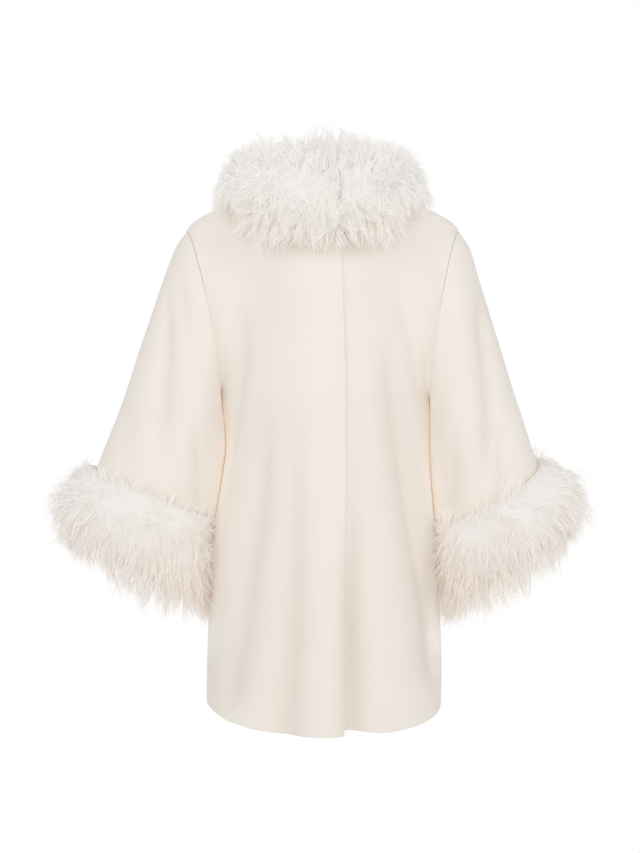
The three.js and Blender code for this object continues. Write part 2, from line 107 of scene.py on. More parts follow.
# fullness below 1 gives a section squarer than an ellipse, and above 1 a lens; the seam under the arm
# is tucked behind the body's side seam, and past bellFrom the sleeve is a free bell
sleeveShape = {"fullOuter": 0.82, "fullInner": 1.4, "tuck": 0.003, "bellFrom": 0.35}


def curveBetween(first, leave, last, arrive, t, span=1):
    # smooth curve that leaves one point and arrives at the next in the given directions
    return ((2 * t**3 - 3 * t**2 + 1) * first + (t**3 - 2 * t**2 + t) * leave * span
            + (3 * t**2 - 2 * t**3) * last + (t**3 - t**2) * arrive * span)


def readTable(table, key, column, at):
    # smooth curve through one column of a table
    keys = np.array([row[key] for row in table], float)
    values = np.array([row[column] for row in table], float)
    if keys[0] > keys[-1]:
        keys, values = keys[::-1], values[::-1]
    slopes = np.empty_like(values)
    slopes[1:-1] = (values[2:] - values[:-2]) / (keys[2:] - keys[:-2])
    slopes[0] = (values[1] - values[0]) / (keys[1] - keys[0])
    slopes[-1] = (values[-1] - values[-2]) / (keys[-1] - keys[-2])
    place = np.clip(np.searchsorted(keys, at) - 1, 0, len(keys) - 2)
    span = keys[place + 1] - keys[place]
    t = np.clip((at - keys[place]) / span, 0, 1)
    return curveBetween(values[place], slopes[place], values[place + 1], slopes[place + 1], t, span)


def smoothStep(value, low, high):
    t = np.clip((value - low) / (high - low), 0, 1)
    return t * t * (3 - 2 * t)


def mixed(a, b, share):
    return a + (b - a) * share


def joinAxes(x, y, z):
    return np.stack(np.broadcast_arrays(x, y, z), axis=-1).astype(float)


def armholePoint(hole, share, face):
    along = (1 - np.cos(np.pi * share)) / 2
    bulge = np.sin(np.pi * share)
    x = mixed(hole["tipX"], hole["baseX"], along) - hole["bow"] * bulge
    return joinAxes(hole["side"] * x, face * hole["depth"] * bulge, mixed(hole["tipZ"], hole["baseZ"], along))


def topEdge(column, face):
    # shoulder seam, then neckline; columns are degrees from the right side over the middle
    onRight = column < 90
    side = np.where(onRight, -1, 1)
    tipX = np.where(onRight, armholes["right"]["tipX"], armholes["left"]["tipX"])
    tipZ = armholes["right"]["tipZ"]
    fromSide = np.minimum(column, 180 - column)
    along = np.clip(fromSide / neck["column"], 0, 1)
    rise = neck["shoulderRise"] * np.sin(np.pi * np.sqrt(along))
    seamHeight = mixed(tipZ, neck["height"], along) + rise
    shoulder = joinAxes(side * mixed(tipX, neck["halfWidth"], along), 0, seamHeight)
    around = np.radians(np.clip((column - neck["column"]) / (180 - 2 * neck["column"]), 0, 1) * 180)
    depth = np.sin(around)
    lift = -neck["frontDrop"] * depth**1.3 if face < 0 else neck["backRise"] * depth
    deep = neck["front"] if face < 0 else neck["back"]
    neckline = joinAxes(-neck["halfWidth"] * np.cos(around), face * depth * deep, neck["height"] + lift)
    return np.where((fromSide < neck["column"])[..., None], shoulder, neckline)


def sectionPoint(column, sideZ, face):
    angle = np.radians(column)
    half = np.where(column < 90, readTable(bodySections, "z", "right", sideZ),
                    readTable(bodySections, "z", "left", sideZ))
    depth = readTable(bodySections, "z", "front" if face < 0 else "back", sideZ)
    top, bottom = bodySections[0]["z"], bodySections[-1]["z"]
    down = (sideZ - top) / (bottom - top)
    roundness = np.where(column < 90, hem["right"], hem["left"])
    dip = hem["dip"] * down**2 * np.clip(np.sin(angle), 0, 1) ** roundness
    fullness = mixed(hem["fullTop"], hem["fullLow"], down)
    proud = face * depth * np.clip(np.sin(angle), 0, 1) ** fullness
    return joinAxes(-half * np.cos(angle), proud, sideZ - dip)


def yokePoint(column, share, face):
    # the points that the cloth passes are softened from its top edge down, except near the armholes
    shifts = np.linspace(-yokeShape["blur"], yokeShape["blur"], yokeShape["blurSteps"])
    weights = 1 - (shifts / yokeShape["blurFade"]) ** 2
    near = sum(w * topEdge(np.clip(column + shift, 0, 180), face) for w, shift in zip(weights, shifts))
    across = smoothStep(np.sin(np.radians(column)), yokeShape["softLow"], yokeShape["softHigh"])
    soft = smoothStep(share, 0, yokeShape["softRow"])[..., None] * across[..., None]
    upper = mixed(topEdge(column, face), near / weights.sum(), soft)
    lower = sectionPoint(column, np.full_like(column, bodySections[0]["z"]), face)
    turn = np.sin(np.radians(column)) ** 2
    out, down = ("outFront", "downFront") if face < 0 else ("outBack", "downBack")
    leave = joinAxes(0, face * mixed(yokeShape["outAtSide"], yokeShape[out], turn),
                     mixed(yokeShape["downAtSide"], yokeShape[down], turn))
    arrive = joinAxes(np.zeros_like(column), 0, yokeShape["downAtChest"])
    return curveBetween(upper, leave, lower, arrive, share[..., None])


def bodyPoint(column, level, face):
    # level runs from 0 at the shoulder over 1 at the underarm to 2 at the hem
    share = np.clip(level, 0, 1)
    yoke = yokePoint(column, share, face)
    for hole, fromSide in ((armholes["right"], column), (armholes["left"], 180 - column)):
        edgeColumn = np.full_like(column, 0.0 if hole["side"] < 0 else 180.0)
        gap = armholePoint(hole, share, face) - yokePoint(edgeColumn, share, face)
        yoke = yoke + gap * (np.clip(1 - fromSide / yokeShape["edgePull"], 0, 1) ** 2)[..., None]
    top, bottom = bodySections[0]["z"], bodySections[-1]["z"]
    skirt = sectionPoint(column, mixed(top, bottom, np.clip(level - 1, 0, 1)), face)
    return np.where((level > 1)[..., None], skirt, yoke)


def ringPoint(side, at, share, face):
    hole = armholes[side]
    read = {name: readTable(sleeveRings[side], "at", name, at)
            for name in ("outerX", "outerZ", "innerX", "innerZ", "depth", "drop")}
    along = (1 - np.cos(np.pi * share)) / 2
    bulge = np.sin(np.pi * share)
    bell = smoothStep(at, 0, sleeveShape["bellFrom"])
    bow = hole["bow"] * bulge * (1 - bell)
    x = mixed(read["outerX"], read["innerX"], along) - bow
    z = mixed(read["outerZ"], read["innerZ"], along) + face * read["drop"] * bulge
    fullness = mixed(1, mixed(sleeveShape["fullOuter"], sleeveShape["fullInner"], along**2), bell)
    tuck = sleeveShape["tuck"] * along**2 * bell
    return joinAxes(hole["side"] * x, face * read["depth"] * np.clip(bulge, 0, 1) ** fullness + tuck, z)


def gridNormals(points, outward):
    down = np.gradient(points, axis=0)
    across = np.gradient(points, axis=1)
    normals = np.cross(down, across) * outward
    return normals / np.maximum(np.linalg.norm(normals, axis=-1, keepdims=True), 1e-12)


edgeRows = [0, 0.22, 0.55, 1.0]    # rows of points over the rounding of an edge
firstStep = 0.6                    # the next row, as a share of the usual step


def edgeSpacing(length, step):
    # places along a cloth edge to edge, closer at both ends where the edge is rounded
    ends = np.array(edgeRows) * cape["seamRound"]
    inner = np.linspace(ends[-1] + step * firstStep, length - ends[-1] - step * firstStep, int(length / step))
    return np.concatenate([ends, inner, length - ends[::-1]]) / length


def roundedEdge(distance):
    # how far the face of the cloth falls away towards its edge
    t = np.clip(1 - distance / cape["seamRound"], 0, 1)
    return cape["seamRound"] * (1 - np.sqrt(np.clip(1 - t * t, 0, 1))) * cape["roundDepth"]


# the shares of a fold's length over which it grows and fades, and how blunt its deepest line is
foldShape = {"start": 0.4, "end": 0.35, "blunt": 0.35}


def foldDepth(folds, points):
    # each fold is a soft trough along its path; ridges have a depth below 0
    depth = np.zeros(points.shape[:-1])
    for fold in folds:
        path = np.array(fold["path"])
        x, z = points[..., 0], points[..., 2]
        order = np.argsort(path[:, 1])
        rows = [{"z": path[i, 1], "x": path[i, 0]} for i in order]
        middle = readTable(rows, "z", "x", z)
        top, bottom = path[0, 1], path[-1, 1]
        grow = smoothStep(z, top, mixed(top, bottom, fold.get("start", foldShape["start"])))
        fade = smoothStep(z, bottom, mixed(bottom, top, fold.get("end", foldShape["end"])))
        if fold.get("runsOut"):
            fade = 1
        down = np.clip((top - z) / (top - bottom), 0, 1)
        width = mixed(fold["width"], fold.get("widthLow", fold["width"]), down)
        lean = fold.get("lean", 1.0)
        offset = x - middle
        width = np.where(offset > 0, width * lean, width / lean)
        blunt = foldShape["blunt"]
        depth += fold["depth"] * grow * fade * np.exp(blunt - np.hypot(offset / width, blunt))
    return depth


sway = {"amount": 0.0009, "waves": 7, "stretch": [1.0, 0.6, 0.45]}


def softSway(points, size, seed):
    # slow uneven swelling of soft cloth
    rng = np.random.default_rng(seed)
    total = np.zeros(points.shape[:-1])
    for _ in range(sway["waves"]):
        direction = rng.normal(size=3) * np.array(sway["stretch"]) / size
        total += np.sin(points @ direction * 2 * math.pi + rng.uniform(0, 2 * math.pi))
    return total * sway["amount"] / sway["waves"]**0.5


# painted light: the wool's colour is paled beside the seams under the arms, between two heights, and in a
# band along the collar, lifting the shade there; painted shade is full in a fold deepFold deep
paintedLightAndShade = {"deepFold": 0.026, "atSide": (6, 30), "below": (0.235, 0.30), "above": (0.66, 0.72), "more": 0.25,
         "moreBelow": (0.45, 0.52), "collar": 0.42, "collarCurve": 3, "collarMiddle": 0.098,
         "collarBand": 0.035, "sleeveShare": (0.70, 0.92), "sleeveFrom": (0, 0.09)}


def paintedShadeAndLift(depth, paintedLight):
    # painted shade: 1 deep in a fold; painted light: -1 where the wool is paled most
    return np.clip(depth / paintedLightAndShade["deepFold"], 0, 1) - np.minimum(paintedLight, 1)


def clothWalls(outer, outward, atSeam):
    # outer face rounded off along its edges, and the inner face, whose seams turn in flat
    rows, columns = outer.shape[:2]
    stepsAcross = np.linalg.norm(np.diff(outer, axis=1), axis=-1)
    stepsDown = np.linalg.norm(np.diff(outer, axis=0), axis=-1)
    fromLeft = np.concatenate([np.zeros((rows, 1)), np.cumsum(stepsAcross, axis=1)], axis=1)
    fromTop = np.concatenate([np.zeros((1, columns)), np.cumsum(stepsDown, axis=0)], axis=0)
    fall = np.zeros((rows, columns))
    for distance in (fromLeft, fromLeft[:, -1:] - fromLeft, fromTop, fromTop[-1:] - fromTop):
        fall = np.maximum(fall, roundedEdge(distance))
    inward = gridNormals(outer, outward)
    inward[atSeam, 1] = 0
    inward /= np.maximum(np.linalg.norm(inward, axis=-1, keepdims=True), 1e-9)
    inner = outer - inward * cape["wall"]
    return outer - inward * np.minimum(fall, cape["wall"] * cape["mostRound"])[..., None], inner


def newMesh(name, points, faces):
    mesh = bpy.data.meshes.new(name)
    mesh.from_pydata(points.reshape(-1, 3).tolist(), [], faces)
    mesh.update()
    piece = bpy.data.objects.new(name, mesh)
    bpy.context.scene.collection.objects.link(piece)
    return piece


def selectOnly(piece):
    bpy.ops.object.select_all(action="DESELECT")
    piece.select_set(True)
    bpy.context.view_layer.objects.active = piece


def clothPiece(name, outer, inner, outward, tone):
    # both faces of the cloth, closed along the edges; each point keeps in "fold" its painted shade, above 0,
    # and its painted light, below 0
    rows, columns = outer.shape[:2]
    index = np.arange(rows * columns).reshape(rows, columns)
    back = rows * columns
    quads = np.stack([index[:-1, :-1], index[1:, :-1], index[1:, 1:], index[:-1, 1:]], axis=-1).reshape(-1, 4)
    rim = np.concatenate([index[0, :-1], index[:-1, -1], index[-1, :0:-1], index[:0:-1, 0]])
    following = np.roll(rim, -1)
    edge = np.stack([rim, following, following + back, rim + back], axis=-1)
    faces = np.concatenate([quads, quads[:, ::-1] + back, edge])
    if outward < 0:
        faces = faces[:, ::-1]
    points = np.concatenate([outer.reshape(-1, 3), inner.reshape(-1, 3)])
    piece = newMesh(name, points, faces.tolist())
    layer = piece.data.attributes.new("fold", "FLOAT", "POINT")
    layer.data.foreach_set("value", np.tile(tone.ravel(), 2).astype(np.float32))
    return piece


def finishCloth(piece, node):
    piece.data.materials.append(woolCoating)
    piece.data.shade_smooth()
    selectOnly(piece)
    bpy.ops.object.shade_smooth_by_angle(angle=math.radians(50))
    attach(piece, "root")
    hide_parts(node)
    print(node, "cloth made,", len(piece.data.polygons), "faces")


# Shader maths


class Maths:
    # wraps a socket, so that sums of values are written as plain expressions
    def __init__(self, tree, socket):
        self.tree = tree
        self.socket = socket

    def make(self, kind, settings=None, inputs=None, output=0):
        node = self.tree.nodes.new(kind)
        for setting, value in (settings or {}).items():
            setattr(node, setting, value)
        for key, value in (inputs or {}).items():
            target = node.inputs[key]
            if isinstance(value, Maths):
                self.tree.links.new(value.socket, target)
            else:
                target.default_value = value
        return Maths(self.tree, node.outputs[output])

    def maths(self, operation, first, second):
        return self.make("ShaderNodeMath", {"operation": operation}, {0: first, 1: second})

    def __add__(self, other):
        return self.maths("ADD", self, other)

    def __radd__(self, other):
        return self.maths("ADD", other, self)

    def __sub__(self, other):
        return self.maths("SUBTRACT", self, other)

    def __rsub__(self, other):
        return self.maths("SUBTRACT", other, self)

    def __mul__(self, other):
        return self.maths("MULTIPLY", self, other)

    def __rmul__(self, other):
        return self.maths("MULTIPLY", other, self)

    def __truediv__(self, other):
        return self.maths("DIVIDE", self, other)

    def __rtruediv__(self, other):
        return self.maths("DIVIDE", other, self)


def newMaterial(name, settings):
    # a material with its shader's constants set; returns it, its shader and a start for expressions
    material = bpy.data.materials.new(name)
    material.use_nodes = True
    tree = material.node_tree
    shader = tree.nodes["Principled BSDF"]
    for key, value in settings.items():
        shader.inputs[key].default_value = value
    return material, shader, Maths(tree, None)


def mixColours(start, factor, first, second):
    return start.make("ShaderNodeMix", {"data_type": "RGBA"}, {0: factor, 6: first, 7: second}, output=2)


def noiseAt(start, place, scale, detail, roughness):
    return start.make("ShaderNodeTexNoise", {}, {"Vector": place, "Scale": scale, "Detail": detail,
                                                 "Roughness": roughness})


wool = {
    "light": (0.895, 0.850, 0.792, 1), "deep": (0.858, 0.805, 0.738, 1),
    # shade is a painted shade colour for the fold valleys; pale is a painted light colour that lifts shade
    "paintedShade": (0.800, 0.735, 0.660, 1), "paintedLight": (0.975, 0.940, 0.895, 1),
    "inFold": 0.75, "cloud": 0.5, "nap": 0.7, "fibre": 0.25, "less": 0.22,
    "napHeight": 0.6, "fibreHeight": 0.4,
    # scale, detail and roughness of each noise
    "cloudNoise": (16.0, 4.0, 0.55), "napNoise": (520.0, 4.0, 0.62), "fibreNoise": (1900.0, 2.0, 0.5),
    "surface": {"Roughness": 0.93, "Sheen Weight": 0.18, "Sheen Roughness": 0.45, "Specular IOR Level": 0.18},
    "bump": {"Strength": 0.30, "Distance": 0.0006},
}


def woolMaterial():
    # felted ivory coating: cloudy tone, short nap, matt with a soft sheen; shade is painted into the folds
    # and light painted where "fold" is below 0
    material, shader, start = newMaterial("woolCoating", wool["surface"])
    place = start.make("ShaderNodeTexCoord", output=3)
    cloud = noiseAt(start, place, *wool["cloudNoise"])
    nap = noiseAt(start, place, *wool["napNoise"])
    fibre = noiseAt(start, place, *wool["fibreNoise"])
    tone = cloud * wool["cloud"] + nap * wool["nap"] + fibre * wool["fibre"] - wool["less"]
    colour = mixColours(start, tone, wool["deep"], wool["light"])
    # painted shade darkens the colour in the fold valleys, and painted light pales it where "fold" is below 0
    fold = start.make("ShaderNodeAttribute", {"attribute_name": "fold"}, output=2)
    colour = mixColours(start, fold * wool["inFold"], colour, wool["paintedShade"])
    colour = mixColours(start, fold * -1, colour, wool["paintedLight"])
    height = nap * wool["napHeight"] + fibre * wool["fibreHeight"]
    bump = start.make("ShaderNodeBump", {}, {**wool["bump"], "Height": height})
    start.tree.links.new(colour.socket, shader.inputs["Base Color"])
    start.tree.links.new(bump.socket, shader.inputs["Normal"])
    return material


# Camera, light and floor

stage = {"cameraX": -0.0031, "cameraDistance": 3.6, "cameraZ": -0.3433, "viewHeight": 1.322, "sensor": 36.0,
         "floorZ": -1.40, "floorRadius": 2.0, "fill": 0.68, "lightColour": (1.0, 0.985, 0.965),
         "bounces": 32, "diffuseBounces": 28, "floor": {"Base Color": (0.9, 0.9, 0.9, 1), "Roughness": 0.9}}
# left and right as the camera sees them
softboxes = {
    "front": {"place": (-0.2, -4.0, 0.25), "target": (0, 0, -0.3), "size": (3.0, 2.4), "power": 32},
    "top": {"place": (-0.2, -0.9, 1.9), "target": (0, 0, 0), "size": (2.0, 1.6), "power": 3},
    "left": {"place": (-2.7, -2.3, 0.6), "target": (-0.1, 0, -0.4), "size": (1.6, 2.2), "power": 11},
    "right": {"place": (2.7, -2.1, 0.5), "target": (0.1, 0, -0.4), "size": (1.6, 2.2), "power": 14},
}


def makeCamera():
    data = bpy.data.cameras.new("camera")
    data.sensor_width = stage["sensor"]
    data.lens = stage["sensor"] * stage["cameraDistance"] / stage["viewHeight"]
    camera = bpy.data.objects.new("camera", data)
    bpy.context.scene.collection.objects.link(camera)
    camera.location = (stage["cameraX"], -stage["cameraDistance"], stage["cameraZ"])
    camera.rotation_euler = (math.radians(90), 0, 0)
    bpy.context.scene.camera = camera


def addSoftbox(name, place, target, size, power):
    data = bpy.data.lights.new(name, "AREA")
    data.shape = "RECTANGLE"
    data.size, data.size_y = size
    data.energy = power
    data.color = stage["lightColour"]
    light = bpy.data.objects.new(name, data)
    light.location = place
    light.rotation_euler = (Vector(target) - Vector(place)).to_track_quat("-Z", "Y").to_euler()
    bpy.context.scene.collection.objects.link(light)


def makeStage():
    scene = bpy.context.scene
    scene.view_settings.view_transform = "Standard"
    scene.view_settings.look = "None"
    scene.cycles.max_bounces = stage["bounces"]
    scene.cycles.diffuse_bounces = stage["diffuseBounces"]
    world = bpy.data.worlds.new("paleStudio")
    world.use_nodes = True
    scene.world = world
    start = Maths(world.node_tree, None)
    world.node_tree.nodes["Background"].inputs["Color"].default_value = (1, 1, 1, 1)
    # the background is white, and gives less light than it shows
    seen = start.make("ShaderNodeLightPath")
    strength = seen * (1 - stage["fill"]) + stage["fill"]
    world.node_tree.links.new(strength.socket, world.node_tree.nodes["Background"].inputs["Strength"])
    for name, box in softboxes.items():
        addSoftbox(name, **box)
    bpy.ops.object.select_all(action="DESELECT")
    bpy.ops.mesh.primitive_circle_add(vertices=96, radius=stage["floorRadius"], fill_type="NGON",
                                      location=(0, 0, stage["floorZ"]))
    floor = bpy.context.active_object
    floor.name = "floor"
    bpy.ops.object.transform_apply(location=True)
    floor.data.materials.append(newMaterial("paleFloor", stage["floor"])[0])


makeCamera()
makeStage()
print("camera, light and floor made")


# Fronts and back

frontFolds = [
    {"path": [(-0.084, -0.270), (-0.0895, -0.368), (-0.100, -0.460), (-0.1126, -0.536), (-0.128, -0.639),
              (-0.143, -0.715), (-0.152, -0.790)], "depth": 0.0180, "width": 0.011, "widthLow": 0.022,
     "lean": 1.2, "start": 0.42, "end": 0.10},
    {"path": [(-0.043, -0.240), (-0.0450, -0.460), (-0.049, -0.640), (-0.053, -0.720), (-0.063, -0.860)],
     "depth": 0.0260, "width": 0.015, "widthLow": 0.028, "start": 0.75, "runsOut": True},
    {"path": [(-0.128, -0.120), (-0.123, -0.200), (-0.127, -0.270), (-0.134, -0.350), (-0.140, -0.420)],
     "depth": 0.0095, "width": 0.012, "widthLow": 0.008, "start": 0.35, "end": 0.55},
    {"path": [(0.056, -0.300), (0.0565, -0.408), (0.0535, -0.511), (0.048, -0.561), (0.048, -0.690),
              (0.052, -0.860)], "depth": 0.0290, "width": 0.012, "widthLow": 0.021, "start": 0.7, "lean": 1.2,
     "runsOut": True},
    {"path": [(0.099, -0.170), (0.103, -0.219), (0.109, -0.280), (0.1255, -0.378), (0.1420, -0.480),
              (0.1590, -0.575), (0.1730, -0.650), (0.1820, -0.760)], "depth": 0.0175, "width": 0.012,
     "widthLow": 0.020, "lean": 0.85, "start": 0.3, "end": 0.10},
    {"path": [(0.1176, -0.125), (0.1200, -0.160), (0.136, -0.214), (0.150, -0.280), (0.160, -0.350)],
     "depth": 0.0050, "width": 0.008, "start": 0.3, "end": 0.3},
]
backFolds = [
    {"path": [(-0.088, -0.180), (-0.100, -0.400), (-0.120, -0.620), (-0.134, -0.840)], "depth": 0.0125,
     "width": 0.014, "widthLow": 0.020, "lean": 1.2, "start": 0.6, "runsOut": True},
    {"path": [(-0.026, -0.230), (-0.034, -0.480), (-0.046, -0.860)], "depth": 0.0115, "width": 0.015,
     "widthLow": 0.023, "start": 0.7, "runsOut": True},
    {"path": [(0.046, -0.200), (0.044, -0.470), (0.056, -0.860)], "depth": 0.0130, "width": 0.014,
     "widthLow": 0.022, "lean": 0.85, "start": 0.55, "runsOut": True},
    {"path": [(0.098, -0.190), (0.118, -0.440), (0.144, -0.820)], "depth": 0.0125, "width": 0.013,
     "widthLow": 0.018, "start": 0.6, "runsOut": True},
]
# from and to are the side of the middle where a panel's lap ends, or None at a side seam
bodyPanels = {
    "front_right": {"face": -1, "folds": frontFolds, "from": None, "to": 1, "wide": 0.30, "step": 0.0054,
                    "flat": (0.36, 0.83), "area": 0.214},
    "front_left": {"face": -1, "folds": frontFolds, "from": -1, "to": None, "wide": 0.30, "step": 0.0054,
                   "flat": (0.36, 0.83), "area": 0.214},
    "back": {"face": 1, "folds": backFolds, "from": None, "to": None, "wide": 0.50, "step": 0.0064,
             "flat": (0.54, 0.84), "area": 0.363},
}
body = {"foldFrom": (3, 17), "swaySize": 0.16, "swaySeed": 11}
# the left front sinks in under the right one, and its hem there is a little higher
underLap = {"from": 0.006, "to": 0.046, "lowFrom": -0.45, "lowTo": -0.80, "lowEnd": 0.105}


def lapColumn(level, side):
    z = mixed(bodySections[0]["z"], bodySections[-1]["z"], np.clip(level - 1, 0, 1))
    half = readTable(bodySections, "z", "left" if side > 0 else "right", z)
    return 90 + side * np.degrees(np.arcsin(cape["lapReach"] / half))


def bodyPanel(name, settings):
    face = settings["face"]
    across = edgeSpacing(settings["wide"], settings["step"])
    down = np.concatenate([edgeSpacing(cape["yokeLength"], settings["step"])[:-len(edgeRows)],
                           1 + edgeSpacing(cape["skirtLength"], settings["step"])[len(edgeRows):]])
    level = np.repeat(down[:, None], len(across), axis=1)
    first = np.zeros_like(down) if settings["from"] is None else lapColumn(down, -1)
    last = np.full_like(down, 180.0) if settings["to"] is None else lapColumn(down, 1)
    column = first[:, None] + (last - first)[:, None] * across[None, :]
    points = bodyPoint(column, level, face)
    outward = 1 if face < 0 else -1
    normals = gridNormals(points, outward)
    atSide = np.minimum(column, 180 - column)
    depth = foldDepth(settings["folds"], points) * smoothStep(atSide, *body["foldFrom"])
    push = softSway(points, body["swaySize"], body["swaySeed"] + face) * np.sin(np.radians(column)) - depth
    if name == "front_left":
        x = points[..., 0]
        covered = 1 - smoothStep(x, cape["lapReach"] + underLap["from"], cape["lapReach"] + underLap["to"])
        push = push - covered * (cape["wall"] + cape["lapGap"])
        low = smoothStep(points[..., 2], underLap["lowFrom"], underLap["lowTo"])
        low = low * (1 - smoothStep(x, cape["lapReach"], underLap["lowEnd"]))
        points[..., 2] += hem["underRise"] * low
    outer = points + normals * push[..., None]
    outer[..., 1] += face * cape["seamGap"] / 2
    outer, inner = clothWalls(outer, outward, np.abs(outer[..., 1]) <= cape["seamGap"])
    z = points[..., 2]
    # painted light beside the side seams under the arms, stronger lower down, lifting the shade of the groove
    # by the sleeve
    paintedLight = (1 - smoothStep(atSide, *paintedLightAndShade["atSide"])) * smoothStep(-z, *paintedLightAndShade["below"])
    paintedLight = paintedLight * (1 - smoothStep(-z, *paintedLightAndShade["above"]))
    paintedLight = paintedLight * (1 + paintedLightAndShade["more"] * smoothStep(-z, *paintedLightAndShade["moreBelow"]))
    # painted light in a band along the collar's lower edge, lifting the collar's shadow on the chest
    if face < 0:
        collarEdge = paintedLightAndShade["collarCurve"] * points[..., 0] ** 2 - paintedLightAndShade["collarMiddle"]
        paintedLight += paintedLightAndShade["collar"] * np.exp(-(((z - collarEdge) / paintedLightAndShade["collarBand"]) ** 2))
    return outer, inner, outward, paintedShadeAndLift(depth, paintedLight)


woolCoating = woolMaterial()
for name, settings in bodyPanels.items():
    piece = clothPiece(name + "_cloth", *bodyPanel(name, settings))
    finishCloth(piece, name)


# Sleeves

sleeveFolds = {
    ("right", -1): [
        {"path": [(-0.2395, -0.105), (-0.2395, -0.200), (-0.241, -0.330), (-0.243, -0.440)], "depth": 0.0130,
         "width": 0.010, "lean": 1.4, "start": 0.3, "end": 0.35},
        {"path": [(-0.214, -0.090), (-0.212, -0.150), (-0.208, -0.240)], "depth": 0.0041, "width": 0.012},
        {"path": [(-0.292, -0.250), (-0.300, -0.340), (-0.306, -0.440)], "depth": 0.0043, "width": 0.016},
        {"path": [(-0.188, -0.310), (-0.186, -0.400), (-0.184, -0.490)], "depth": 0.0100, "width": 0.010,
         "start": 0.5, "end": 0.2},
    ],
    ("left", -1): [
        {"path": [(0.243, -0.095), (0.249, -0.180), (0.256, -0.300), (0.252, -0.450)], "depth": 0.0155,
         "width": 0.010, "lean": 0.8, "start": 0.3, "end": 0.3},
        {"path": [(0.272, -0.330), (0.275, -0.400), (0.276, -0.460)], "depth": 0.0090, "width": 0.008},
        {"path": [(0.200, -0.340), (0.195, -0.430), (0.193, -0.490)], "depth": 0.0110, "width": 0.013,
         "start": 0.5, "end": 0.2},
        {"path": [(0.300, -0.280), (0.304, -0.350), (0.308, -0.430)], "depth": -0.0036, "width": 0.014},
    ],
    ("right", 1): [
        {"path": [(-0.232, -0.110), (-0.234, -0.230), (-0.240, -0.440)], "depth": 0.0101, "width": 0.014},
        {"path": [(-0.275, -0.220), (-0.286, -0.320), (-0.296, -0.440)], "depth": 0.0065, "width": 0.013},
        {"path": [(-0.196, -0.240), (-0.196, -0.340), (-0.200, -0.470)], "depth": 0.0058, "width": 0.012},
    ],
    ("left", 1): [
        {"path": [(0.236, -0.110), (0.238, -0.230), (0.240, -0.440)], "depth": 0.0104, "width": 0.014},
        {"path": [(0.270, -0.230), (0.280, -0.320), (0.286, -0.430)], "depth": 0.0058, "width": 0.013},
        {"path": [(0.204, -0.260), (0.204, -0.350), (0.206, -0.480)], "depth": 0.0065, "width": 0.012},
    ],
}
# flat and area are those of one half of a sleeve
sleeve = {"flat": (0.27, 0.46), "area": {"right": 0.076, "left": 0.069}, "long": 0.42, "wide": 0.27,
          "step": 0.0056, "crowd": 1.15, "foldFrom": (0, 0.2), "swaySize": 0.14, "swaySeed": 31}


def sleeveHalf(side, face):
    hole = armholes[side]
    rows = edgeSpacing(sleeve["long"], sleeve["step"])
    columns = edgeSpacing(sleeve["wide"], sleeve["step"])
    at, share = np.meshgrid(rows ** sleeve["crowd"], columns, indexing="ij")
    points = ringPoint(side, at, share, face)
    outward = face * hole["side"]
    normals = gridNormals(points, outward)
    edge = np.sin(np.pi * share) ** 0.5 * smoothStep(at, *sleeve["foldFrom"])
    depth = foldDepth(sleeveFolds[side, face], points) * edge
    push = softSway(points, sleeve["swaySize"], sleeve["swaySeed"] + face) * edge - depth
    outer = points + normals * push[..., None]
    outer[..., 0] += hole["side"] * cape["armholeGap"]
    outer[..., 1] += face * cape["seamGap"] / 2
    outer, inner = clothWalls(outer, outward, (share == 0) | (share == 1))
    # painted light towards the seam under the arm, lifting the shade of the groove beside the body
    paintedLight = smoothStep(share, *paintedLightAndShade["sleeveShare"]) * smoothStep(at, *paintedLightAndShade["sleeveFrom"])
    return outer, inner, outward, paintedShadeAndLift(depth, paintedLight)


for side in ("right", "left"):
    for face, half in ((-1, "front"), (1, "back")):
        name = f"sleeve_{side}_{half}"
        piece = clothPiece(name + "_cloth", *sleeveHalf(side, face))
        finishCloth(piece, name)


# Fur: a lumpy core under clumped locks of tapered hair

# places along a hair, how thick it is at its root, middle and tip, and how much locks and hairs differ
hairShape = {
    "places": [0, 0.27, 0.54, 0.79, 1], "root": 0.00046, "middle": 0.00050, "tip": 0.00014,
    "thick": (0.75, 1.25), "length": (0.72, 1.04), "strayLength": 1.08, "strayTip": 2.6, "phase": 0.5,
    "gather": 0.7, "lockTip": (0.6, 1.5), "lockCurl": (0.4, 1.5), "hairCurl": (0.7, 1.3),
    "lockTurns": (0.6, 1.3),
}
fieldWaves = 6
goldenShare = 0.6180339887


def softField(points, size, seed):
    # smooth field of vectors, so that neighbouring locks lean alike
    rng = np.random.default_rng(seed)
    total = np.zeros(points.shape)
    for _ in range(fieldWaves):
        direction = rng.normal(size=3) / size
        phase = rng.uniform(0, 2 * math.pi, 3)
        total += rng.normal(size=3) * np.sin((points @ direction * 2 * math.pi)[..., None] + phase)
    return total / fieldWaves**0.5


def unit(vectors):
    return vectors / np.maximum(np.linalg.norm(vectors, axis=-1, keepdims=True), 1e-9)


def evenSpread(count):
    # values from 0 to 1 that leave no bare patch beside an even row of places
    return (np.arange(count) * goldenShare) % 1


